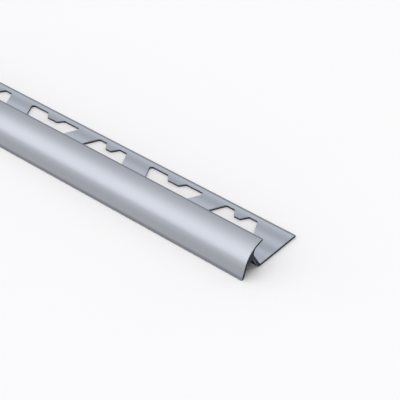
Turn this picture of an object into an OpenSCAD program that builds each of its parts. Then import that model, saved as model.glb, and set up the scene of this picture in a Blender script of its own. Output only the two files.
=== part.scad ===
// Round-edge tile trim: one aluminium extrusion with a punched anchoring leg.
// The section lies in the Y-Z plane and runs along X. The foot of the face and the
// leg's underside stand on Z = 0. The origin is at the bottom centre of the trim.

/* [Stock] */
// Length of the cut piece
trim_length = 1000; // [200:1:3000]
// Thickness of the tile that the lip finishes level with
tile_thickness = 10; // [8:0.5:13]

/* [Round face] */
// Outside radius of the face
face_radius = 9.8; // [8:0.1:12]
// Lean of the straight skirt below the round, from upright
skirt_lean = 21; // [14:0.5:26]
// Wall of the face at its foot
face_wall = 1.2; // [0.8:0.1:1.8]

/* [Lip] */
// Climb that is left in the lip where the round ends
lip_rise = 4; // [1:0.5:8]
// Straight land from the end of the round to the lip's tip
lip_land = 0.6; // [0.4:0.1:2]
// Thickness of the lip at its tip
lip_thickness = 0.7; // [0.6:0.05:1]
// Slope of the lip's underside, which thickens it towards the web
lip_slope = 16; // [10:1:24]

/* [Web] */
// Overhang of the lip's tip past the web's foot
lip_overhang = 1.1; // [0.4:0.1:3]
// Lean of the web towards the face, from upright
web_lean = 30; // [24:1:34]
// Thickness of the web
web_thickness = 1.2; // [0.8:0.1:1.6]

/* [Leg] */
// Reach of the leg from the web's foot to its outer edge
leg_reach = 19.15; // [17:0.05:40]
// Thickness of the anchoring leg
leg_thickness = 1; // [0.8:0.1:1.6]

/* [Punched holes] */
// Distance from one pair of holes to the next
pair_pitch = 60; // [54:0.5:90]
// Distance between the two holes of a pair
pair_spacing = 29.2; // [26:0.1:33]
// Centre of the first hole, from the cut end at +X
first_hole = 21; // [16:0.5:40]
// Strip left between the holes and the outer edge of the leg
outer_strip = 2.4; // [1.5:0.1:4]
// Depth of a hole, across the leg
hole_depth = 12; // [8:0.5:13.5]
// Short side of a hole
hole_short = 13.6; // [11:0.1:18]
// Long side of a hole
hole_long = 25.6; // [20:0.1:30]
// Radius of the holes' corners
hole_round = 1; // [0.4:0.1:1.5]
// Metal left between the last hole and the far end, at least
end_wall = 5; // [2:0.5:20]

/* [Tongues in the holes] */
// Root width of the tongue on a hole's short side
short_tongue_root = 6.2; // [5:0.1:8]
// Tip width of the tongue on a hole's short side
short_tongue_tip = 2.6; // [2:0.1:4]
// Depth of the tongue on a hole's short side
short_tongue_depth = 2.8; // [1.5:0.1:5]
// Root width of the tongue on a hole's long side
long_tongue_root = 8.6; // [7:0.1:12]
// Tip width of the tongue on a hole's long side
long_tongue_tip = 4.8; // [3:0.1:6]
// Depth of the tongue on a hole's long side
long_tongue_depth = 2.3; // [1.5:0.1:5]
// Radius of the tongues' corners
tongue_round = 0.6; // [0.3:0.1:0.8]

/* [Fillets] */
// Radius between the lip and the web
lip_fillet = 2; // [1:0.1:2.6]
// Radius at the top of the hollow behind the face
hollow_fillet = 1.8; // [1.4:0.1:2.4]
// Radius between the web and the leg, where the tile sits
seat_fillet = 1; // [0.3:0.1:2]
// Radius under the fold from the web to the leg
fold_radius = 1.2; // [0.3:0.1:2]
// Radius of the thin outer edges
edge_radius = 0.25; // [0.1:0.01:0.3]

/* [Hidden] */

// How far the short straight pieces of an arc may stray from it
section_error = 0.004;
punch_error = 0.03;
// How far a punch passes the leg on either side
punch_over = 1;

// The rounded foot and tip, and not their sharp corners, are the outermost points
foot_y = edge_radius * (1 - tan(skirt_lean) - 1 / cos(skirt_lean));
tip_z = leg_thickness + tile_thickness + edge_radius * (tan(lip_rise) + 1 / cos(lip_rise) - 1);
// Centre of the round, which touches the skirt and the lip's land
round_z = tip_z - lip_land * sin(lip_rise) - face_radius * cos(lip_rise);
round_y = foot_y + round_z * tan(skirt_lean) + face_radius / cos(skirt_lean);
// Lip's tip, web's foot and outer edge of the leg, each one from the one before
tip_y = round_y - face_radius * sin(lip_rise) + lip_land * cos(lip_rise);
web_y = tip_y - lip_overhang;
trim_width = web_y + leg_reach;
// Farthest place for the centre of a hole
last_hole = trim_length - end_wall - hole_long / 2;

// Unit vector at an angle from the first axis
function along(angle) = [cos(angle), sin(angle)];

function unit(v) = v / norm(v);

// Point where two lines cross, each given by a point and its angle
function meet(p, p_angle, q, q_angle) =
    p + along(p_angle) * cross(q - p, along(q_angle)) / cross(along(p_angle), along(q_angle));

// Straight pieces that an arc needs to stay within the error
function arc_steps(radius, sweep, error) = max(2, ceil(abs(sweep) / (2 * acos(1 - error / radius))));

// Points of the arc that rounds a corner and touches both of its sides
function round_corner(before, corner, after, radius, error) =
    let (
        a = unit(before - corner),
        b = unit(after - corner),
        half = acos(a * b) / 2,
        centre = corner + unit(a + b) * radius / sin(half),
        start = corner + a * radius / tan(half) - centre,
        sweep = sign(cross(b, a)) * (180 - 2 * half),
        steps = arc_steps(radius, sweep, error)
    )
    [for (i = [0:steps]) centre + radius * along(atan2(start[1], start[0]) + sweep * i / steps)];

// Closed outline through corners given as [first, second, radius]
function round_outline(corners, error) =
    let (n = len(corners), at = function (i) [corners[i % n][0], corners[i % n][1]])
    [for (i = [0:n - 1]) each round_corner(at(i + n - 1), at(i), at(i + 1), corners[i][2], error)];

// Section of the extrusion, as corners in Y and Z from the foot of the face
function section_corners() =
    let (
        skirt_angle = 90 - skirt_lean,
        web_angle = 90 + web_lean,
        foot = [foot_y, 0],
        foot_inner = foot + [face_wall / cos(skirt_lean), 0],
        lip_top = [tip_y, tip_z],
        lip_under = [tip_y, tip_z - lip_thickness],
        web_back = [web_y, leg_thickness],
        web_front = web_back - [web_thickness / cos(web_lean), 0]
    )
    [
        [each foot, edge_radius],
        [each meet(foot, skirt_angle, lip_top, lip_rise), face_radius],
        [each lip_top, edge_radius],
        [each lip_under, edge_radius],
        [each meet(lip_under, lip_slope, web_back, web_angle), lip_fillet],
        [each web_back, seat_fillet],
        [trim_width, leg_thickness, edge_radius],
        [trim_width, 0, edge_radius],
        [each meet(web_front, web_angle, [0, 0], 0), fold_radius],
        [each meet(web_front, web_angle, foot_inner, skirt_angle), hollow_fillet],
        [each foot_inner, edge_radius],
    ];

// Trapezoid hole with a tongue on its outer side, as corners about its centre line.
// The outer side is the short or the long one, and lies on Y = 0.
function hole_corners(outer, inner, root, tip, depth) = [
    [-inner / 2, -hole_depth, hole_round],
    [inner / 2, -hole_depth, hole_round],
    [outer / 2, 0, hole_round],
    [root / 2, 0, tongue_round],
    [tip / 2, -depth, tongue_round],
    [-tip / 2, -depth, tongue_round],
    [-root / 2, 0, tongue_round],
    [-outer / 2, 0, hole_round],
];

function short_side_out() =
    hole_corners(hole_short, hole_long, short_tongue_root, short_tongue_tip, short_tongue_depth);

function long_side_out() =
    hole_corners(hole_long, hole_short, long_tongue_root, long_tongue_tip, long_tongue_depth);

module extruded_section() {
    translate([0, -trim_width / 2, 0])
        rotate([90, 0, 90])
            linear_extrude(trim_length, center = true)
                polygon(round_outline(section_corners(), section_error));
}

// One hole of each pair, all along the leg, from its first place
module hole_row(corners, first) {
    for (place = [first:pair_pitch:last_hole])
        translate([trim_length / 2 - place, trim_width / 2 - outer_strip, -punch_over])
            linear_extrude(leg_thickness + 2 * punch_over)
                polygon(round_outline(corners, punch_error));
}

module edge_trim() {
    color([0.69, 0.7, 0.73])
        difference() {
            extruded_section();
            hole_row(short_side_out(), first_hole);
            hole_row(long_side_out(), first_hole + pair_spacing);
        }
}

edge_trim();
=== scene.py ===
"""Tile edge trim with a round face and a punched leg, in satin anodised aluminium on a pale studio floor."""

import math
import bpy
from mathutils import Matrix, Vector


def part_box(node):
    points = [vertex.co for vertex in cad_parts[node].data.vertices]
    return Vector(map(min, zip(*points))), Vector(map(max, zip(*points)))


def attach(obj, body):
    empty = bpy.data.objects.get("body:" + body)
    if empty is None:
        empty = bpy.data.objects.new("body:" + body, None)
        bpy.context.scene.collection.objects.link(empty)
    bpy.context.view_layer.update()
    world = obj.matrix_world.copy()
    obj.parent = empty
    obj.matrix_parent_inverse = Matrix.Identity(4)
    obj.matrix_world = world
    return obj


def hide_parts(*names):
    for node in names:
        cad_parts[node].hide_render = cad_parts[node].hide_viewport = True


bl_info = {
    "name": "Tile edge trim",
    "version": (1, 0, 0),
    "blender": (4, 5, 0),
    "location": "View3D > Sidebar > Edge trim",
    "description": "Makes a round-edge tile trim with its finish, and the stage that it is shown on",
    "category": "Object",
}

import bpy
import numpy as np
from bpy.props import FloatProperty, FloatVectorProperty, PointerProperty
from mathutils import Matrix, Vector

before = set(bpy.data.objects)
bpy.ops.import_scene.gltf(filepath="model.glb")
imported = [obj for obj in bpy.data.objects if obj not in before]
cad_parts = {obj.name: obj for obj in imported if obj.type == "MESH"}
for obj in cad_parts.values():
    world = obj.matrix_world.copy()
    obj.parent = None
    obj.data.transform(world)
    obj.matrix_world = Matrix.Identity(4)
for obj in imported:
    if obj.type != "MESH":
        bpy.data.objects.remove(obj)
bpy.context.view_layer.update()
TRIM_NODE = "edge_trim"
LOW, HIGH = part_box(TRIM_NODE)

MM = 0.001
# Side of the square picture in pixels, and width of the camera's sensor
PICTURE_SIDE = 400
SENSOR_WIDTH = 36.0
# Points closer than this are one vertex; the shift keeps round sizes off the edge of a rounding step
WELD = 1e-6
WELD_SHIFT = 0.37
# An area lamp has a radiance of its power over four times its area
LAMP_FACTOR = 4.0
# A wave texture of scale 1 repeats after this length
WAVE_PERIOD = 2 * math.pi / 20

# Straight pieces in the arcs of the section, of the holes' corners and of the small edges
EDGE_STEPS = 5
FOLD_STEPS = 6
FILLET_STEPS = 10
FACE_STEPS = 28
HOLE_STEPS = 6
ROLL_STEPS = 4
CHAMFER_STEPS = 3

FLOOR_RINGS = 12
FLOOR_SIDES = 64

# Brightness of the light tent, by degrees of turn about the trim, up from the floor before the face
TENT = (
    (0, 0.42),
    (20, 0.955),
    (48, 0.98),
    (60, 0.875),
    (85, 0.625),
    (98, 0.53),
    (128, 0.42),
    (133, 0.66),
    (180, 0.57),
)

# Free edges of the section: the place of each among its corners, and the setting that gives the width of the
# grey painted along it as shade
FREE_EDGES = {"outer_top": 0, "outer_under": 1, "foot": 5, "lip": 7}
EDGE_SHADE_WIDTHS = {"outer_top": "outer_shade_width", "outer_under": "outer_shade_width", "foot": "foot_shade_width", "lip": "lip_shade_width"}
# Order of the materials on the trim
SKIN, SHEARED, SAWN, DEBURRED, INSIDE = range(5)


def linear(code):
    """Linear red, green and blue of an sRGB hex colour."""
    values = np.array([int(code[i:i + 2], 16) for i in (1, 3, 5)]) / 255
    return tuple(np.where(values <= 0.04045, values / 12.92, ((values + 0.055) / 1.055) ** 2.4))


def length(name, description, millimetres):
    """Length in metres, from its default in millimetres."""
    return FloatProperty(
        name=name, description=description, default=millimetres * MM, min=0.0, precision=5, unit="LENGTH"
    )


def angle(name, description, degrees):
    """Angle in radians, from its default in degrees."""
    return FloatProperty(name=name, description=description, default=math.radians(degrees), subtype="ANGLE")


def colour(name, description, code):
    """Linear colour, from its default as an sRGB hex value."""
    return FloatVectorProperty(
        name=name, description=description, default=linear(code), min=0.0, max=1.0, subtype="COLOR"
    )


def factor(name, description, share):
    """Number from 0 to 1."""
    return FloatProperty(
        name=name, description=description, default=share, min=0.0, max=1.0, subtype="FACTOR"
    )


def level(name, description, radiance):
    """Brightness, where 1 is the white of the picture."""
    return FloatProperty(name=name, description=description, default=radiance, min=0.0)


class TrimSection(bpy.types.PropertyGroup):
    """Sizes of the extruded section."""

    trim_length: length("Length", "Length of the cut piece", (HIGH.x - LOW.x) / MM)
    trim_width: length("Width", "From the foot of the face to the leg's outer edge", (HIGH.y - LOW.y) / MM)
    trim_height: length("Height", "From the floor to the tip of the lip", (HIGH.z - LOW.z) / MM)
    face_radius: length("Face radius", "Outside radius of the round face", 9.8)
    skirt_lean: angle("Skirt lean", "Lean of the straight skirt below the round, from upright", 21)
    face_wall: length("Face wall", "Wall of the face at its foot", 1.2)
    lip_rise: angle("Lip rise", "Climb that is left in the lip where the round ends", 4)
    lip_land: length("Lip land", "Straight land from the end of the round to the tip", 0.6)
    lip_thickness: length("Lip thickness", "Thickness of the lip at its tip", 0.7)
    lip_slope: angle("Lip slope", "Slope of the lip's underside", 16)
    lip_overhang: length("Lip overhang", "Overhang of the tip past the web's foot", 1.1)
    web_lean: angle("Web lean", "Lean of the web towards the face, from upright", 30)
    web_thickness: length("Web thickness", "Thickness of the web", 1.2)
    leg_thickness: length("Leg thickness", "Thickness of the anchoring leg", 1.0)
    lip_fillet: length("Lip fillet", "Radius between the lip and the web", 2.0)
    hollow_fillet: length("Hollow fillet", "Radius at the top of the hollow behind the face", 1.8)
    seat_fillet: length("Seat fillet", "Radius between the web and the leg", 1.0)
    fold_radius: length("Fold radius", "Radius under the fold from the web to the leg", 1.2)
    edge_radius: length("Edge radius", "Radius of the thin outer edges", 0.25)
    cut_edge: length("Cut edge", "Radius of the deburred edges of the saw cuts", 0.06)


class TrimHoles(bpy.types.PropertyGroup):
    """Sizes of the punched holes."""

    pair_pitch: length("Pair pitch", "Distance from one pair of holes to the next", 60)
    pair_spacing: length("Pair spacing", "Distance between the two holes of a pair", 29.2)
    first_hole: length("First hole", "Centre of the first hole, from the cut end at +X", 21)
    outer_strip: length("Outer strip", "Strip between the holes and the outer edge of the leg", 2.4)
    hole_depth: length("Hole depth", "Depth of a hole, across the leg", 12)
    hole_short: length("Short side", "Short side of a hole", 13.6)
    hole_long: length("Long side", "Long side of a hole", 25.6)
    hole_round: length("Hole corner", "Radius of the holes' corners", 1.0)
    end_wall: length("End wall", "Metal between the last hole and the far end, at least", 5)
    short_tongue_root: length("Short tongue root", "Root of the tongue on a short side", 6.2)
    short_tongue_tip: length("Short tongue tip", "Tip of the tongue on a short side", 2.6)
    short_tongue_depth: length("Short tongue depth", "Depth of the tongue on a short side", 2.8)
    long_tongue_root: length("Long tongue root", "Root of the tongue on a long side", 8.6)
    long_tongue_tip: length("Long tongue tip", "Tip of the tongue on a long side", 4.8)
    long_tongue_depth: length("Long tongue depth", "Depth of the tongue on a long side", 2.3)
    tongue_round: length("Tongue corner", "Radius of the tongues' corners", 0.6)
    die_roll: length("Die roll", "Radius that the punch rolls over the upper edge of a hole", 0.15)
    burnish: length("Burnished depth", "Depth to which the punch leaves the wall smooth", 0.4)
    break_out: length("Break-out", "How far the torn part of the wall leans back", 0.06)
    heel: length("Heel", "Worn edge under a hole", 0.06)


class TrimFinish(bpy.types.PropertyGroup):
    """Colours and grain of the trim's surfaces."""

    skin_light: colour("Anodised, light", "Silver of the anodised skin where it is lightest", "#BABEC5")
    skin_dark: colour("Anodised, dark", "Silver of the anodised skin where it is darkest", "#B2B6BD")
    skin_roughness: factor("Satin", "Roughness of the anodised skin", 0.29)
    die_line: length("Die line", "Width of the faint lines that the die leaves along the trim", 0.5)
    die_run: length("Die line run", "Length over which a die line fades and returns", 400)
    line_share: factor("Line share", "Share of the die lines in the tone of the skin", 0.5)
    etch_grain: length("Etch grain", "Grain of the etched satin", 0.3)
    grain_share: factor("Grain share", "Share of the grain in the relief of the skin", 0.3)
    # Grey painted along the thin free edges: painted shade at the foot and painted dark reflections of the
    # rounded edges
    painted_edge_grey: colour("Edge grey", "Greyer film along the free edges", "#84878D")
    shade_core: factor("Film core", "Share of the film's width in which it is fully grey", 0.4)
    outer_shade_width: length("Outer film", "Width of the film along the leg's outer edge", 1.1)
    foot_shade_width: length("Foot film", "Width of the film along the foot of the face", 1.8)
    lip_shade_width: length("Lip film", "Width of the film along the tip of the lip", 0.8)
    # Grey painted on the lower skirt, as a painted darker reflection of the floor near the foot
    skirt_shade_reach: length("Skirt film", "How far up from the foot the thin film on the skirt goes", 6.5)
    skirt_shade_core: length("Skirt core", "How far up from the foot the thin film keeps its full tone", 3.2)
    skirt_shade_grey: factor("Skirt grey", "Share of the film's grey on the skirt", 0.46)
    # Light and dark bands painted along the leg, as painted reflection
    leg_wave: length("Leg wave", "Distance between the faint light bands along the leg", 7)
    leg_crest: length("Leg crest", "Distance of the first light band from the outer edge", 0.7)
    leg_reach: length("Leg reach", "How far from the outer edge the bands go", 16)
    leg_tone: factor("Leg tone", "How far the bands stray from the leg's mean brightness", 0.12)
    satin_spread: factor("Satin spread", "How far the roughness strays with the grain", 0.04)
    die_depth: length("Die depth", "Relief of the die lines and the grain", 0.002)
    tone_patch: length("Tone patch", "Size of the slow changes of tone", 40)
    # The hollow's metal is coloured dark as painted shade of the hollow
    inside_light: colour("Inside, light", "Dull metal inside the hollow where it is lightest", "#3C3F44")
    inside_dark: colour("Inside, dark", "Dull metal inside the hollow where it is darkest", "#2C2E33")
    inside_roughness: factor("Inside roughness", "Roughness of the metal inside the hollow", 0.55)
    # Both bands of a hole's wall are coloured darker than the metal, as painted shade in the holes
    burnished: colour("Burnished wall", "Smooth upper part of a hole's wall", "#80848B")
    torn: colour("Torn wall", "Rough lower part of a hole's wall", "#43464C")
    burnished_roughness: factor("Burnished roughness", "Roughness of the smooth part of a wall", 0.3)
    torn_roughness: factor("Torn roughness", "Roughness of the torn part of a wall", 0.6)
    drag_line: length("Drag line", "Width of the lines that the punch drags down a wall", 0.12)
    drag_run: length("Drag run", "Length of those lines", 1.5)
    band_waver: length("Band waver", "How far the border of the torn part wavers", 0.12)
    torn_grain: length("Torn grain", "Grain of the torn part", 0.15)
    torn_depth: length("Torn depth", "Relief of the walls", 0.01)
    # The cut ends are coloured dark as painted shade of the ends; the saw marks are real
    sawn_light: colour("Sawn, light", "Crests of the saw marks on a cut end", "#3E424C")
    sawn_dark: colour("Sawn, dark", "Valleys of the saw marks on a cut end", "#1E2128")
    saw_mark: length("Saw mark", "Distance between two saw marks", 0.45)
    saw_radius: length("Saw radius", "Radius of the saw blade that left the marks", 125)
    saw_smear: length("Saw smear", "Size of the patches where the marks are smeared", 0.9)
    smear_share: factor("Smear share", "Share of the smeared patches in the relief of a cut", 0.5)
    saw_depth: length("Saw depth", "Relief of the saw marks", 0.006)
    sawn_roughness: factor("Sawn roughness", "Roughness of a cut end", 0.45)
    bare: colour("Bare metal", "Bright metal of a deburred edge", "#B9BCC2")


class StageSettings(bpy.types.PropertyGroup):
    """Camera, floor and light."""

    view_turn: angle("View turn", "Turn of the camera from the front of the face towards the cut end", 40.247)
    view_height: angle("View height", "Elevation of the camera over the floor", 38.356)
    view_distance: length("View distance", "From the camera to the plane through the near foot", 420.245)
    focus_pixels: FloatProperty(
        name="Focal length",
        description="Focal length in pixels of the picture",
        default=1310.92,
        subtype="PIXEL",
    )
    aim_left: length("Aim left", "How far left of the near foot the camera aims", 13.28)
    aim_up: length("Aim up", "How far above the near foot the camera aims, in the picture", 26.04)
    floor_colour: colour("Floor", "Matt white of the floor", "#FCFBFA")
    tent_colour: colour("Tent", "White of the light tent", "#FCFCFE")
    rear_colour: colour("Tent behind", "Cooler white of the tent behind the leg", "#F3F8FF")
    rear_start: angle("Rear start", "Turn about the trim at which the tent begins to be cooler", 128)
    rear_end: angle("Rear end", "Turn about the trim past which all of the tent is cooler", 133)
    floor_radius: length("Floor radius", "Radius of the floor", 16000)
    floor_gap: length("Floor gap", "How far the floor lies below the trim", 0.02)
    tent_level: level("Tent level", "Brightness of the light tent where its share is 1", 1.57)
    mouth_start: factor("Mouth start", "Where the tent first dims, as the +X part of a unit direction", 0.4)
    mouth_end: factor("Mouth end", "Where the tent is dimmest, as the +X part of a unit direction", 0.8)
    mouth_level: factor("Mouth level", "Share of its light that the tent keeps where it is dimmest", 0.2)
    box_height: length("Box height", "Height of the soft box over the floor", 6000)
    box_side: length("Box side", "Side of the square soft box", 6000)
    box_shift: length("Box shift", "How far the soft box hangs past the middle of the trim, towards +X", 800)
    box_level: level("Box level", "Brightness of the soft box", 0.25)


def unit(vectors):
    """Vectors of length 1."""
    return vectors / np.linalg.norm(vectors, axis=-1, keepdims=True)


def heading(turn):
    """Unit vector in a plane at an angle from the first axis."""
    return np.array([math.cos(turn), math.sin(turn)])


def cross(a, b):
    """Third component of the cross product of two vectors in a plane."""
    return a[0] * b[1] - a[1] * b[0]


def meet(p, p_turn, q, q_turn):
    """Point where two lines cross, each given by a point and its angle."""
    return p + heading(p_turn) * cross(q - p, heading(q_turn)) / cross(heading(p_turn), heading(q_turn))


def rounded_corner(before, corner, after, radius, steps):
    """Arc that rounds a corner and touches both of its sides, with its unit normals.

    With unit vectors a and b from the corner to its neighbours and h half the angle between them, the
    centre is corner + (a + b) / |a + b| * radius / sin h, and the arc turns through pi - 2 h. The normals
    point to the left of the way round.
    """
    a = unit(before - corner)
    b = unit(after - corner)
    half = math.acos(a @ b) / 2
    centre = corner + unit(a + b) * radius / math.sin(half)
    start = corner + a * radius / math.tan(half) - centre
    side = np.sign(cross(b, a))
    turns = math.atan2(start[1], start[0]) + side * (math.pi - 2 * half) * np.linspace(0, 1, steps + 1)
    spokes = np.stack([np.cos(turns), np.sin(turns)], -1)
    return centre + radius * spokes, -side * spokes


def rounded_corners(corners, radii, steps):
    """Arc and normals of each corner of a closed outline."""
    corners = np.asarray(corners)
    sides = zip(np.roll(corners, 1, 0), corners, np.roll(corners, -1, 0), radii, steps)
    return [rounded_corner(*side) for side in sides]


def joined(arcs):
    """Points and normals of several arcs, one after the other."""
    return tuple(np.concatenate(parts) for parts in zip(*arcs))


def section_arcs(s):
    """Rounded corners of the section in y and z, clockwise from the top of the leg's outer edge.

    y runs from the foot of the face and z from the floor. The foot and the tip are placed so that their
    rounded ends, and not their sharp corners, reach the trim's box. The round touches the skirt and the
    land of the lip, and the web's foot lies under the tip.
    """
    edge = s.edge_radius
    skirt_turn = math.pi / 2 - s.skirt_lean
    web_turn = math.pi / 2 + s.web_lean
    foot = np.array([edge * (1 - math.tan(s.skirt_lean) - 1 / math.cos(s.skirt_lean)), 0.0])
    foot_inner = foot + [s.face_wall / math.cos(s.skirt_lean), 0.0]
    tip_z = s.trim_height + edge * (math.tan(s.lip_rise) + 1 / math.cos(s.lip_rise) - 1)
    round_z = tip_z - s.lip_land * math.sin(s.lip_rise) - s.face_radius * math.cos(s.lip_rise)
    round_y = foot[0] + round_z * math.tan(s.skirt_lean) + s.face_radius / math.cos(s.skirt_lean)
    tip_y = round_y - s.face_radius * math.sin(s.lip_rise) + s.lip_land * math.cos(s.lip_rise)
    tip = np.array([tip_y, tip_z])
    tip_under = tip - [0.0, s.lip_thickness]
    web_back = np.array([tip_y - s.lip_overhang, s.leg_thickness])
    web_front = web_back - [s.web_thickness / math.cos(s.web_lean), 0.0]
    corners, radii, steps = zip(
        ([s.trim_width, s.leg_thickness], edge, EDGE_STEPS),
        ([s.trim_width, 0.0], edge, EDGE_STEPS),
        (meet(web_front, web_turn, np.zeros(2), 0.0), s.fold_radius, FOLD_STEPS),
        (meet(web_front, web_turn, foot_inner, skirt_turn), s.hollow_fillet, FILLET_STEPS),
        (foot_inner, edge, EDGE_STEPS),
        (foot, edge, EDGE_STEPS),
        (meet(foot, skirt_turn, tip, s.lip_rise), s.face_radius, FACE_STEPS),
        (tip, edge, EDGE_STEPS),
        (tip_under, edge, EDGE_STEPS),
        (meet(tip_under, s.lip_slope, web_back, web_turn), s.lip_fillet, FILLET_STEPS),
        (web_back, s.seat_fillet, FOLD_STEPS),
    )
    return rounded_corners(corners, radii, steps)


def hole_outline(h, outer, inner, root, tip, depth):
    """Outline of a trapezoid hole with a tongue, anticlockwise about its centre line, and its normals.

    The outer side lies on y = 0 and holds the tongue. The outline starts in the middle of the arc at the
    left inner corner, so that each of the four main corners has a point on its bisector.
    """
    x = np.array([-inner, inner, outer, root, tip, -tip, -root, -outer]) / 2
    y = -np.array([h.hole_depth, h.hole_depth, 0, 0, depth, depth, 0, 0])
    radii = [h.hole_round] * 3 + [h.tongue_round] * 4 + [h.hole_round]
    points, normals = joined(rounded_corners(np.stack([x, y], -1), radii, [HOLE_STEPS] * len(x)))
    middle = HOLE_STEPS // 2
    return np.roll(points, -middle, 0), np.roll(normals, -middle, 0)


def hole_places(s, h):
    """Centres of the holes along x, from the +X end on, and which of them have their short side outwards."""
    last = s.trim_length - h.end_wall - h.hole_long / 2
    short_out = np.arange(h.first_hole, last, h.pair_pitch)
    long_out = np.arange(h.first_hole + h.pair_spacing, last, h.pair_pitch)
    places = np.concatenate([short_out, long_out])
    order = np.argsort(places)
    return s.trim_length / 2 - places[order], order < len(short_out)


def cell_corners(s, h, centres, short_out, y_inner, y_outer):
    """Corner x of the leg's cells, one cell for a hole: left and right inner, right and left outer.

    Two cells meet on the middle line of the slanted bar between their holes, and the first and the last
    end at the edges of the saw cuts.
    """
    outer = np.where(short_out, h.hole_short, h.hole_long) / 2
    inner = np.where(short_out, h.hole_long, h.hole_short) / 2
    y_hole = s.trim_width - h.outer_strip
    middle_outer = ((centres - outer)[:-1] + (centres + outer)[1:]) / 2
    middle_inner = ((centres - inner)[:-1] + (centres + inner)[1:]) / 2
    slant = (middle_outer - middle_inner) / h.hole_depth
    end = [s.trim_length / 2 - s.cut_edge]
    at_inner = np.concatenate([end, middle_outer + slant * (y_inner - y_hole), np.negative(end)])
    at_outer = np.concatenate([end, middle_outer + slant * (y_outer - y_hole), np.negative(end)])
    return np.stack([at_inner[1:], at_inner[:-1], at_outer[:-1], at_outer[1:]], 1)


def outer_shares(x, start, end):
    """Share of the way along a cell's outer side for the points of an outline that face it.

    A point's place on the side is straight across from it, so that no two faces cross. Only the points of
    the first and last half arcs spread evenly to the cell's corners.
    """
    spread = np.linspace(0, 1, HOLE_STEPS // 2 + 1)[:-1]
    places = x.copy()
    places[:, :len(spread)] = start + (x[:, [len(spread)]] - start) * spread
    places[:, -len(spread):] = end + (x[:, [-len(spread) - 1]] - end) * spread[::-1]
    return (places - start) / (end - start)


def cell_border(outlines, corner_x, y_inner, y_outer):
    """Point on the border of its cell for each point of an outline, and the side that it lies on.

    The sides are the inner, right, outer and left one, and a point is the start of its side plus a share of
    the way to its end. The shares are even, except on the outer side.
    """
    count = outlines.shape[1]
    run = HOLE_STEPS + 1
    marks = np.array([0, run, 2 * run, count - run, count])
    side = np.repeat(np.arange(4), np.diff(marks))
    shares = np.tile((np.arange(count) - marks[side]) / np.diff(marks)[side], (len(outlines), 1))
    facing = slice(marks[2], marks[3] + 1)
    shares[:, side == 2] = outer_shares(outlines[:, facing, 0], corner_x[:, [2]], corner_x[:, [3]])[:, :-1]
    corner_y = np.broadcast_to([y_inner, y_inner, y_outer, y_outer], corner_x.shape)
    corners = np.stack([corner_x, corner_y], -1)
    return corners[:, side] + (corners[:, (side + 1) % 4] - corners[:, side]) * shares[..., None], side


def closed(ring):
    """Ring of points along the second axis, with its first point again at its end."""
    return np.concatenate([ring, ring[:, :1]], 1)


def wall_rows(outlines, normals, offsets, heights, tilts):
    """Rows of points down the edge of each hole, with their normals.

    A row is the outline moved into the metal by its offset, at its height. Its normal points into the hole
    and is tilted up by its tilt: (n cos tilt, sin tilt).
    """
    offsets, heights, tilts = (np.asarray(row, float)[:, None, None] for row in (offsets, heights, tilts))
    flat = outlines[:, None] - normals[:, None] * offsets
    points = np.concatenate([flat, np.broadcast_to(heights, flat.shape[:-1] + (1,))], -1)
    lean = normals[:, None] * np.cos(tilts)
    return points, np.concatenate([lean, np.broadcast_to(np.sin(tilts), lean.shape[:-1] + (1,))], -1)


def border_row(border, height, up):
    """A cell's border as one row of points at a height, with normals straight up or down."""
    flat = border[:, None]
    points = np.concatenate([flat, np.full(flat.shape[:-1] + (1,), height)], -1)
    return points, np.broadcast_to([0.0, 0.0, up], points.shape)


def stacked(*rows):
    """Rows of several sets, one set under the other, as points and normals."""
    return tuple(np.concatenate(parts, 1) for parts in zip(*rows))


def strip(profile, normals, stations):
    """A profile in y and z carried along x through the stations."""
    x = stations[:, None]
    points = np.stack(np.broadcast_arrays(x, profile[:, 0], profile[:, 1]), -1)
    return points, np.stack(np.broadcast_arrays(0.0 * x, normals[:, 0], normals[:, 1]), -1)


def cut_rows(ring, normals, end, radius):
    """Rounded edge of a saw cut: rows from the side of the trim to the face of the cut.

    At angle t the row lies radius * sin t past the end's start and radius * (1 - cos t) inside the
    section, and its normal turns from the section's normal to the trim's axis. end is +1 or -1 times where
    the edge starts.
    """
    t = np.linspace(0, math.pi / 2, CHAMFER_STEPS + 1)[:, None]
    flat = ring - normals * radius * (1 - np.cos(t))[..., None]
    x = np.broadcast_to(end + math.copysign(radius, end) * np.sin(t), flat.shape[:-1])
    lean = normals * np.cos(t)[..., None]
    x_lean = np.broadcast_to(math.copysign(1.0, end) * np.sin(t), lean.shape[:-1])
    return np.concatenate([x[..., None], flat], -1), np.concatenate([x_lean[..., None], lean], -1)


def grid_quads(points, normals):
    """Quads of grids of points, as four corner points and normals each, wound to face along the normals."""
    def corners(grid):
        quads = [grid[..., :-1, :-1, :], grid[..., :-1, 1:, :], grid[..., 1:, 1:, :], grid[..., 1:, :-1, :]]
        return np.stack(quads, -2).reshape(-1, 4, 3)

    quads = corners(points)
    leans = corners(normals)
    facing = np.cross(quads[:, 2] - quads[:, 0], quads[:, 3] - quads[:, 1])
    turned = np.sum(facing * leans.sum(1), 1) < 0
    quads[turned] = quads[turned, ::-1]
    leans[turned] = leans[turned, ::-1]
    return quads, leans


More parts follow.
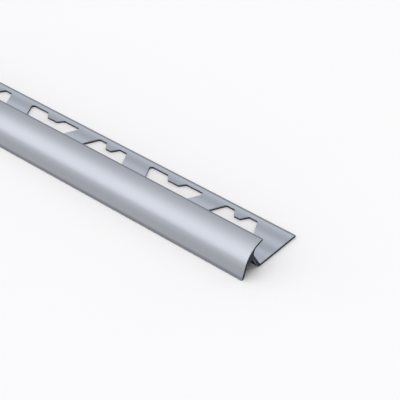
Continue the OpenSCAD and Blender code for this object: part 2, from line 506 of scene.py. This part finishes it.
def trim_surface(s, h):
    """Faces of the trim: a list of (corner points, corner normals, material), each for faces of one kind.

    Two strips run along x, one round the leg's outer edge and one from the fold round the hollow, the face
    and the lip to the seat. Between them the leg is a row of cells, each a ring of faces from its border on
    the top, over the rolled edge, down the hole's wall and out to its border underneath. The ends close
    with a rounded edge and one flat face.
    """
    arcs = section_arcs(s)
    outer, outer_normals = joined(arcs[:2])
    face, face_normals = joined(arcs[2:])
    fold_points, hollow_points = (len(points) for points, _ in arcs[2:4])
    inside = slice(fold_points - 1, fold_points + hollow_points + 1)
    top = s.leg_thickness
    inner_top, outer_top = face[-1, 0], outer[0, 0]
    inner_under, outer_under = face[0, 0], outer[-1, 0]

    centres, short_out = hole_places(s, h)
    kinds = [
        hole_outline(
            h, h.hole_long, h.hole_short, h.long_tongue_root, h.long_tongue_tip, h.long_tongue_depth
        ),
        hole_outline(
            h, h.hole_short, h.hole_long, h.short_tongue_root, h.short_tongue_tip, h.short_tongue_depth
        ),
    ]
    outlines, normals = (np.stack(parts)[short_out.astype(int)] for parts in zip(*kinds))
    shift = np.stack(np.broadcast_arrays(centres, s.trim_width - h.outer_strip), -1)
    outlines = outlines + shift[:, None]

    corner_x = cell_corners(s, h, centres, short_out, inner_top, outer_top)
    over, side = cell_border(outlines, corner_x, inner_top, outer_top)
    under, _ = cell_border(outlines, corner_x, inner_under, outer_under)
    inner_stations = np.append(over[::-1][:, side == 0, 0].ravel(), corner_x[0, 1])
    outer_stations = np.append(over[:, side == 2, 0].ravel(), corner_x[-1, 3])

    outlines, normals, over, under = (closed(ring) for ring in (outlines, normals, over, under))
    roll = np.linspace(0, math.pi / 2, ROLL_STEPS + 1)
    burnish_end = top - h.burnish
    torn_lean = math.atan2(h.break_out, burnish_end - h.heel)
    rolled = wall_rows(
        outlines,
        normals,
        h.die_roll * (1 - np.sin(roll)),
        top - h.die_roll * (1 - np.cos(roll)),
        math.pi / 2 - roll,
    )
    burnished = wall_rows(outlines, normals, [0, 0], [top - h.die_roll, burnish_end], [0, 0])
    torn = wall_rows(outlines, normals, [0, h.break_out], [burnish_end, h.heel], [-torn_lean, -torn_lean])
    heel_out = h.break_out + h.heel
    heel = wall_rows(outlines, normals, [h.break_out, heel_out], [h.heel, 0], [-math.pi / 4, -math.pi / 4])
    base = wall_rows(outlines, normals, [heel_out], [0], [-math.pi / 2])

    surface = [
        (*grid_quads(*strip(outer, outer_normals, outer_stations)), SKIN),
        (*grid_quads(*strip(face[:inside.start + 1], face_normals[:inside.start + 1], inner_stations)), SKIN),
        (*grid_quads(*strip(face[inside], face_normals[inside], inner_stations)), INSIDE),
        (*grid_quads(*strip(face[inside.stop - 1:], face_normals[inside.stop - 1:], inner_stations)), SKIN),
        (*grid_quads(*stacked(border_row(over, top, 1.0), rolled)), SKIN),
        (*grid_quads(*burnished), SHEARED),
        (*grid_quads(*torn), SHEARED),
        (*grid_quads(*heel), SHEARED),
        (*grid_quads(*stacked(base, border_row(under, 0.0, -1.0))), SKIN),
    ]

    shared = np.linspace(0, 1, HOLE_STEPS + 2)[1:-1, None]
    under_line = outer[-1] + (face[0] - outer[-1]) * shared
    over_line = face[-1] + (outer[0] - face[-1]) * shared
    down = np.broadcast_to([0.0, -1.0], under_line.shape)
    ring = np.concatenate([outer, under_line, face, over_line])
    ring_normals = np.concatenate([outer_normals, down, face_normals, -down])
    end = s.trim_length / 2 - s.cut_edge
    for way in (1, -1):
        rows, leans = cut_rows(ring, ring_normals, way * end, s.cut_edge)
        surface.append((*grid_quads(closed(rows), closed(leans)), DEBURRED))
        cap = rows[-1][::-way]
        surface.append((cap[None], np.broadcast_to([float(way), 0.0, 0.0], cap[None].shape), SAWN))
    return surface


def surface_mesh(name, surface, shift):
    """Mesh of a list of faces, moved by a shift, with equal points welded and each corner's own normal."""
    points = np.concatenate([part.reshape(-1, 3) for part, _, _ in surface]) + shift
    normals = np.concatenate([part.reshape(-1, 3) for _, part, _ in surface])
    sizes = np.concatenate([np.full(len(part), part.shape[1]) for part, _, _ in surface])
    materials = np.concatenate([np.full(len(part), index) for part, _, index in surface])
    steps = np.round(points / WELD + WELD_SHIFT).astype(np.int64)
    _, first, vertex = np.unique(steps, axis=0, return_index=True, return_inverse=True)

    mesh = bpy.data.meshes.new(name)
    mesh.vertices.add(len(first))
    mesh.vertices.foreach_set("co", points[first].ravel())
    mesh.loops.add(len(points))
    mesh.loops.foreach_set("vertex_index", vertex.ravel())
    mesh.polygons.add(len(sizes))
    mesh.polygons.foreach_set("loop_start", np.cumsum(sizes) - sizes)
    mesh.polygons.foreach_set("material_index", materials)
    mesh.polygons.foreach_set("use_smooth", np.ones(len(sizes), bool))
    mesh.update(calc_edges=True)
    if mesh.validate():
        raise RuntimeError(f"{name} has faces that don't hold")
    mesh.normals_split_custom_set(unit(normals))
    return mesh


def require_closed(mesh):
    """Stops unless two faces meet at every edge of a mesh."""
    edges = np.empty(len(mesh.loops), np.int32)
    mesh.loops.foreach_get("edge_index", edges)
    if np.any(np.bincount(edges) != 2):
        raise RuntimeError(f"the surface of {mesh.name} isn't closed")


def add_node(tree, kind, inputs=None, output=None, **settings):
    """Adds a node with its settings, and returns the named output, or else the first one in use.

    Each input, given by its name or its place, gets a value or a link from another node's output. Of several
    sockets with one name, it is the first that the node's settings leave in use.
    """
    node = tree.nodes.new(kind)
    for name, value in settings.items():
        setattr(node, name, value)
    for name, value in (inputs or {}).items():
        socket = next(s for i, s in enumerate(node.inputs) if name == i or (s.enabled and s.name == name))
        if isinstance(value, bpy.types.NodeSocket):
            tree.links.new(value, socket)
        else:
            socket.default_value = value
    return next((s for s in node.outputs if s.enabled and output in (None, s.name)), None)


def opaque(rgb):
    """Colour with full alpha."""
    return (*rgb, 1.0)


def new_material(name):
    """Material with an empty node tree, and the tree."""
    material = bpy.data.materials.new(name)
    material.use_nodes = True
    material.node_tree.nodes.clear()
    return material, material.node_tree


def die_lines(tree, f, place):
    """Height from 0 to 1 of the faint lines that the die leaves along the trim."""
    drawn = add_node(tree, "ShaderNodeMapping", {
        "Vector": place,
        "Scale": (1 / f.die_run, 1 / f.die_line, 1 / f.die_line),
    })
    return add_node(tree, "ShaderNodeTexNoise", {
        "Vector": drawn, "Scale": 1.0, "Detail": 3.0, "Roughness": 0.6,
    })


def painted_leg_bands(tree, f, section, outer_edge, silver):
    """Colour with faint light and dark bands painted along the leg as painted reflection, by the distance
    from its outer edge.

    The brightness is 1 + tone * cos(2 pi (distance - crest) / wave). Over the last quarter of a wave before
    the reach, the tone falls to 0.
    """
    away = add_node(tree, "ShaderNodeVectorMath", {0: section, 1: (0.0, *outer_edge)}, operation="DISTANCE")
    turns = 2 * math.pi / f.leg_wave
    phase = add_node(tree, "ShaderNodeMath", {
        0: away, 1: turns, 2: -turns * f.leg_crest,
    }, operation="MULTIPLY_ADD")
    wave = add_node(tree, "ShaderNodeMath", {0: phase}, operation="COSINE")
    reach = add_node(tree, "ShaderNodeMapRange", {
        "Value": away,
        "From Min": f.leg_reach - f.leg_wave / 4,
        "From Max": f.leg_reach,
        "To Min": f.leg_tone,
        "To Max": 0.0,
    })
    brightness = add_node(tree, "ShaderNodeMath", {0: wave, 1: reach, 2: 1.0}, operation="MULTIPLY_ADD")
    return add_node(tree, "ShaderNodeVectorMath", {0: silver, "Scale": brightness}, operation="SCALE")


def satin_anodised_aluminium(f, free_edges):
    """Aluminium extruded, etched to a satin and anodised in silver.

    The etch blurs what the metal reflects, the die leaves faint lines along the trim, and the film changes
    tone slowly. Light and dark bands are painted along the leg as painted reflection. Grey is painted along
    the free edges, each given by its y and z, as painted shade and painted dark reflection, and on the lower
    skirt as painted darker reflection: at every point the greyest of these counts.
    """
    material, tree = new_material("satin_anodised_aluminium")
    place = add_node(tree, "ShaderNodeTexCoord", output="Object")
    lines = die_lines(tree, f, place)
    # The real etch is finer than a pixel, so its grain is drawn coarser
    grain = add_node(tree, "ShaderNodeTexNoise", {
        "Vector": place, "Scale": 1 / f.etch_grain, "Detail": 2.0, "Roughness": 0.7,
    })
    patches = add_node(tree, "ShaderNodeTexNoise", {
        "Vector": place, "Scale": 1 / f.tone_patch, "Detail": 2.0, "Roughness": 0.5,
    })
    tone = add_node(tree, "ShaderNodeMix", {"Factor": f.line_share, "A": patches, "B": lines})
    silver = add_node(tree, "ShaderNodeMix", {
        "Factor": tone, "A": opaque(f.skin_dark), "B": opaque(f.skin_light),
    }, data_type="RGBA")
    section = add_node(tree, "ShaderNodeMapping", {"Vector": place, "Scale": (0.0, 1.0, 1.0)})
    reflection_banded = painted_leg_bands(tree, f, section, free_edges["outer_top"], silver)
    ways = {
        name: add_node(tree, "ShaderNodeVectorMath", {0: section, 1: (0.0, *edge)}, operation="DISTANCE")
        for name, edge in free_edges.items()
    }
    # Painted darker reflection on the lower skirt
    grey = add_node(tree, "ShaderNodeMapRange", {
        "Value": ways["foot"], "From Min": f.skirt_shade_reach, "From Max": f.skirt_shade_core, "To Max": f.skirt_shade_grey,
    }, interpolation_type="SMOOTHSTEP")
    # Grey painted along each free edge, as painted shade and painted dark reflection
    for name, way in ways.items():
        width = getattr(f, EDGE_SHADE_WIDTHS[name])
        film = add_node(tree, "ShaderNodeMapRange", {
            "Value": way, "From Min": width, "From Max": width * f.shade_core,
        }, interpolation_type="SMOOTHSTEP")
        grey = add_node(tree, "ShaderNodeMath", {0: grey, 1: film}, operation="MAXIMUM")
    coated = add_node(tree, "ShaderNodeMix", {
        "Factor": grey, "A": reflection_banded, "B": opaque(f.painted_edge_grey),
    }, data_type="RGBA")
    roughness = add_node(tree, "ShaderNodeMapRange", {
        "Value": grain,
        "To Min": f.skin_roughness - f.satin_spread,
        "To Max": f.skin_roughness + f.satin_spread,
    })
    relief = add_node(tree, "ShaderNodeMix", {"Factor": f.grain_share, "A": lines, "B": grain})
    bump = add_node(tree, "ShaderNodeBump", {"Distance": f.die_depth, "Height": relief})
    shader = add_node(tree, "ShaderNodeBsdfPrincipled", {
        "Base Color": coated, "Metallic": 1.0, "Roughness": roughness, "Normal": bump,
    })
    add_node(tree, "ShaderNodeOutputMaterial", {"Surface": shader})
    return material


def hollow_painted_shade_metal(f):
    """Inside of the hollow: dark dull metal with the lines of the die, its darkness painted shade of the
    hollow.
    """
    material, tree = new_material("hollow_painted_shade_metal")
    place = add_node(tree, "ShaderNodeTexCoord", output="Object")
    lines = die_lines(tree, f, place)
    metal = add_node(tree, "ShaderNodeMix", {
        "Factor": lines, "A": opaque(f.inside_dark), "B": opaque(f.inside_light),
    }, data_type="RGBA")
    bump = add_node(tree, "ShaderNodeBump", {"Distance": f.die_depth, "Height": lines})
    shader = add_node(tree, "ShaderNodeBsdfPrincipled", {
        "Base Color": metal, "Metallic": 1.0, "Roughness": f.inside_roughness, "Normal": bump,
    })
    add_node(tree, "ShaderNodeOutputMaterial", {"Surface": shader})
    return material


def sheared_wall_painted_shade(f, burnish_end):
    """Wall of a punched hole: a smooth band with drag lines, where the punch slid, over a dull torn one, both
    coloured darker than the metal as painted shade in the holes.
    """
    material, tree = new_material("sheared_wall_painted_shade")
    place = add_node(tree, "ShaderNodeTexCoord", output="Object")
    dragged = add_node(tree, "ShaderNodeMapping", {
        "Vector": place,
        "Scale": (1 / f.drag_line, 1 / f.drag_line, 1 / f.drag_run),
    })
    drag = add_node(tree, "ShaderNodeTexNoise", {"Vector": dragged, "Scale": 1.0, "Detail": 2.0})
    crumbs = add_node(tree, "ShaderNodeTexNoise", {
        "Vector": place, "Scale": 1 / f.torn_grain, "Detail": 3.0, "Roughness": 0.7,
    })
    # The drag lines make the border between the two bands waver
    height = add_node(tree, "ShaderNodeSeparateXYZ", {"Vector": place}, output="Z")
    wavering = add_node(tree, "ShaderNodeMath", {
        0: drag, 1: f.band_waver, 2: height,
    }, operation="MULTIPLY_ADD")
    band = add_node(tree, "ShaderNodeMapRange", {
        "Value": wavering, "From Min": burnish_end, "From Max": burnish_end + f.band_waver,
    })
    metal = add_node(tree, "ShaderNodeMix", {
        "Factor": band, "A": opaque(f.torn), "B": opaque(f.burnished),
    }, data_type="RGBA")
    roughness = add_node(tree, "ShaderNodeMapRange", {
        "Value": band, "To Min": f.torn_roughness, "To Max": f.burnished_roughness,
    })
    relief = add_node(tree, "ShaderNodeMix", {"Factor": band, "A": crumbs, "B": drag})
    bump = add_node(tree, "ShaderNodeBump", {"Distance": f.torn_depth, "Height": relief})
    shader = add_node(tree, "ShaderNodeBsdfPrincipled", {
        "Base Color": metal, "Metallic": 1.0, "Roughness": roughness, "Normal": bump,
    })
    add_node(tree, "ShaderNodeOutputMaterial", {"Surface": shader})
    return material


def sawn_end_painted_shade(f):
    """Saw cut: dark dull metal with fine arcs that the turning blade left, uneven in depth; its darkness is
    painted shade of the cut end.
    """
    material, tree = new_material("sawn_end_painted_shade")
    place = add_node(tree, "ShaderNodeTexCoord", output="Object")
    from_hub = add_node(tree, "ShaderNodeMapping", {"Vector": place, "Location": (0.0, 0.0, -f.saw_radius)})
    arcs = add_node(tree, "ShaderNodeTexWave", {
        "Vector": from_hub, "Scale": WAVE_PERIOD / f.saw_mark, "Distortion": 1.5, "Detail": 2.0,
    }, wave_type="RINGS", rings_direction="X")
    smears = add_node(tree, "ShaderNodeTexNoise", {
        "Vector": place, "Scale": 1 / f.saw_smear, "Detail": 2.0, "Roughness": 0.6,
    })
    depth = add_node(tree, "ShaderNodeMix", {"Factor": f.smear_share, "A": arcs, "B": smears})
    metal = add_node(tree, "ShaderNodeMix", {
        "Factor": depth, "A": opaque(f.sawn_dark), "B": opaque(f.sawn_light),
    }, data_type="RGBA")
    roughness = add_node(tree, "ShaderNodeMapRange", {
        "Value": smears, "To Min": f.sawn_roughness, "To Max": f.torn_roughness,
    })
    bump = add_node(tree, "ShaderNodeBump", {"Distance": f.saw_depth, "Height": depth})
    shader = add_node(tree, "ShaderNodeBsdfPrincipled", {
        "Base Color": metal, "Metallic": 1.0, "Roughness": roughness, "Normal": bump,
    })
    add_node(tree, "ShaderNodeOutputMaterial", {"Surface": shader})
    return material


def deburred_aluminium(f):
    """Edge of a saw cut, wiped with a file: bare bright metal with short scratches."""
    material, tree = new_material("deburred_aluminium")
    place = add_node(tree, "ShaderNodeTexCoord", output="Object")
    scratches = add_node(tree, "ShaderNodeTexNoise", {
        "Vector": place, "Scale": 1 / f.etch_grain, "Detail": 3.0, "Roughness": 0.7,
    })
    metal = add_node(tree, "ShaderNodeMix", {
        "Factor": scratches, "A": opaque(f.skin_light), "B": opaque(f.bare),
    }, data_type="RGBA")
    roughness = add_node(tree, "ShaderNodeMapRange", {
        "Value": scratches, "To Min": f.burnished_roughness, "To Max": f.sawn_roughness,
    })
    shader = add_node(tree, "ShaderNodeBsdfPrincipled", {
        "Base Color": metal, "Metallic": 1.0, "Roughness": roughness,
    })
    add_node(tree, "ShaderNodeOutputMaterial", {"Surface": shader})
    return material


def matt_white(g):
    """Matt painted board of the studio floor."""
    material, tree = new_material("matt_white_floor")
    shader = add_node(tree, "ShaderNodeBsdfDiffuse", {"Color": opaque(g.floor_colour)})
    add_node(tree, "ShaderNodeOutputMaterial", {"Surface": shader})
    return material


def floor_surface(radius):
    """Faces of a flat disc: the point at angle a on a ring of radius r is (r cos a, r sin a, 0).

    The rings lie at the squares of even shares of the disc's radius, so they are closer in the middle.
    """
    shares = np.linspace(0, 1, FLOOR_RINGS + 1)[1:, None] ** 2
    turns = np.linspace(0, 2 * math.pi, FLOOR_SIDES + 1)
    x, y, z = np.broadcast_arrays(radius * shares * np.cos(turns), radius * shares * np.sin(turns), 0.0)
    points = np.stack([x, y, z], -1)
    up = np.broadcast_to([0.0, 0.0, 1.0], points.shape)
    return [(*grid_quads(points, up), 0), (points[:1, :-1], up[:1, :-1], 0)]


def soft_box(g):
    """Square of light high over the trim, facing down, with the power that gives its brightness."""
    lamp = bpy.data.lights.new("overhead_soft_box", "AREA")
    lamp.size = g.box_side
    lamp.energy = LAMP_FACTOR * g.box_side ** 2 * g.box_level
    box = bpy.data.objects.new(lamp.name, lamp)
    box.location = (g.box_shift, 0.0, g.box_height)
    return box


def light_tent(g):
    """World of white cloth stretched over the trim.

    A direction (x, y, z) lies at the turn atan2(z, -y) about the trim's axis, and TENT gives the cloth's
    brightness there. It is dimmer where x is large, past the cut end, and cooler behind the leg.
    """
    world = bpy.data.worlds.new("light_tent")
    world.use_nodes = True
    tree = world.node_tree
    tree.nodes.clear()
    way = add_node(tree, "ShaderNodeTexCoord", output="Generated")
    along = add_node(tree, "ShaderNodeSeparateXYZ", {"Vector": way}, output="X")
    behind = add_node(tree, "ShaderNodeSeparateXYZ", {"Vector": way}, output="Y")
    height = add_node(tree, "ShaderNodeSeparateXYZ", {"Vector": way}, output="Z")
    before = add_node(tree, "ShaderNodeMath", {0: behind, 1: -1.0}, operation="MULTIPLY")
    turn = add_node(tree, "ShaderNodeMath", {0: height, 1: before}, operation="ARCTAN2")
    share = add_node(tree, "ShaderNodeMath", {0: turn, 1: math.pi}, operation="DIVIDE")
    brightness = add_node(tree, "ShaderNodeValToRGB", {"Fac": share}, output="Color")
    # A new ramp has two stops already
    stops = brightness.node.color_ramp.elements
    for _ in TENT[2:]:
        stops.new(0.0)
    for stop, (degrees, level_there) in zip(stops, TENT):
        stop.position = degrees / 180
        stop.color = opaque([level_there] * 3)
    opening = add_node(tree, "ShaderNodeMapRange", {
        "Value": along,
        "From Min": g.mouth_start,
        "From Max": g.mouth_end,
        "To Min": g.tent_level,
        "To Max": g.tent_level * g.mouth_level,
    }, interpolation_type="SMOOTHSTEP")
    strength = add_node(tree, "ShaderNodeMath", {0: brightness, 1: opening}, operation="MULTIPLY")
    rear = add_node(tree, "ShaderNodeMapRange", {
        "Value": turn, "From Min": g.rear_start, "From Max": g.rear_end,
    })
    white = add_node(tree, "ShaderNodeMix", {
        "Factor": rear, "A": opaque(g.tent_colour), "B": opaque(g.rear_colour),
    }, data_type="RGBA")
    light = add_node(tree, "ShaderNodeBackground", {"Color": white, "Strength": strength})
    add_node(tree, "ShaderNodeOutputWorld", {"Surface": light})
    return world


def view_axes(turn, height):
    """Directions to the right, up and back to the camera, for a view turned about z and raised by a height.

    Back is (sin t cos e, -cos t cos e, sin e) for the turn t and the height e, right is (cos t, sin t, 0),
    and up is the cross product of the two.
    """
    back = Vector((math.sin(turn) * math.cos(height), -math.cos(turn) * math.cos(height), math.sin(height)))
    right = Vector((math.cos(turn), math.sin(turn), 0.0))
    return right, back.cross(right), back


def add_camera(g, near_foot):
    """Camera that looks past the near foot of the trim at a point left of it and above it in the picture."""
    right, up, back = view_axes(g.view_turn, g.view_height)
    aim = near_foot - g.aim_left * right + g.aim_up * up
    data = bpy.data.cameras.new("photo_camera")
    data.sensor_width = SENSOR_WIDTH
    data.lens = g.focus_pixels * SENSOR_WIDTH / PICTURE_SIDE
    camera = bpy.data.objects.new("photo_camera", data)
    turn = Matrix((right, up, back)).transposed().to_4x4()
    camera.matrix_world = Matrix.Translation(aim + g.view_distance * back) @ turn
    return camera


class EDGETRIM_OT_make_trim(bpy.types.Operator):
    """Make the trim's surface with its finish, in place of the plain solid"""

    bl_idname = "edge_trim.make_trim"
    bl_label = "Make trim"

    def execute(self, context):
        s, h, f = context.scene.trim_section, context.scene.trim_holes, context.scene.trim_finish
        mesh = surface_mesh("edge_trim_profile", trim_surface(s, h), (0.0, LOW.y, LOW.z))
        require_closed(mesh)
        arcs = section_arcs(s)
        free_edges = {name: arcs[i][0].mean(0) + (LOW.y, LOW.z) for name, i in FREE_EDGES.items()}
        mesh.materials.append(satin_anodised_aluminium(f, free_edges))
        mesh.materials.append(sheared_wall_painted_shade(f, s.leg_thickness - h.burnish))
        mesh.materials.append(sawn_end_painted_shade(f))
        mesh.materials.append(deburred_aluminium(f))
        mesh.materials.append(hollow_painted_shade_metal(f))
        trim = bpy.data.objects.new(mesh.name, mesh)
        context.scene.collection.objects.link(trim)
        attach(trim, "root")
        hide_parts(TRIM_NODE)
        return {"FINISHED"}


class EDGETRIM_OT_make_stage(bpy.types.Operator):
    """Make the floor, the soft box, the light tent and the camera"""

    bl_idname = "edge_trim.make_stage"
    bl_label = "Make stage"

    def execute(self, context):
        scene = context.scene
        g = scene.trim_stage
        near_foot = Vector((HIGH.x, LOW.y, LOW.z))
        mesh = surface_mesh("studio_floor", floor_surface(g.floor_radius), (0.0, 0.0, LOW.z - g.floor_gap))
        mesh.materials.append(matt_white(g))
        floor = bpy.data.objects.new(mesh.name, mesh)
        camera = add_camera(g, near_foot)
        for item in (floor, camera, soft_box(g)):
            scene.collection.objects.link(item)
        scene.camera = camera
        scene.world = light_tent(g)
        scene.view_settings.view_transform = "Standard"
        return {"FINISHED"}


class EDGETRIM_PT_panel(bpy.types.Panel):
    """Sizes, finish and stage of the trim"""

    bl_idname = "EDGETRIM_PT_panel"
    bl_label = "Tile edge trim"
    bl_space_type = "VIEW_3D"
    bl_region_type = "UI"
    bl_category = "Edge trim"

    def draw(self, context):
        for name, group in GROUPS.items():
            column = self.layout.column()
            column.label(text=group.__doc__)
            for setting in group.__annotations__:
                column.prop(getattr(context.scene, name), setting)
        for operator in OPERATORS:
            self.layout.operator(operator.bl_idname)


GROUPS = {
    "trim_section": TrimSection,
    "trim_holes": TrimHoles,
    "trim_finish": TrimFinish,
    "trim_stage": StageSettings,
}
OPERATORS = (EDGETRIM_OT_make_trim, EDGETRIM_OT_make_stage)


def register():
    for kind in (*GROUPS.values(), *OPERATORS, EDGETRIM_PT_panel):
        bpy.utils.register_class(kind)
    for name, group in GROUPS.items():
        setattr(bpy.types.Scene, name, PointerProperty(type=group))


def unregister():
    for name in GROUPS:
        delattr(bpy.types.Scene, name)
    for kind in (EDGETRIM_PT_panel, *OPERATORS, *GROUPS.values()):
        bpy.utils.unregister_class(kind)


def main():
    register()
    bpy.ops.edge_trim.make_trim()
    bpy.ops.edge_trim.make_stage()


if __name__ == "__main__":
    main()
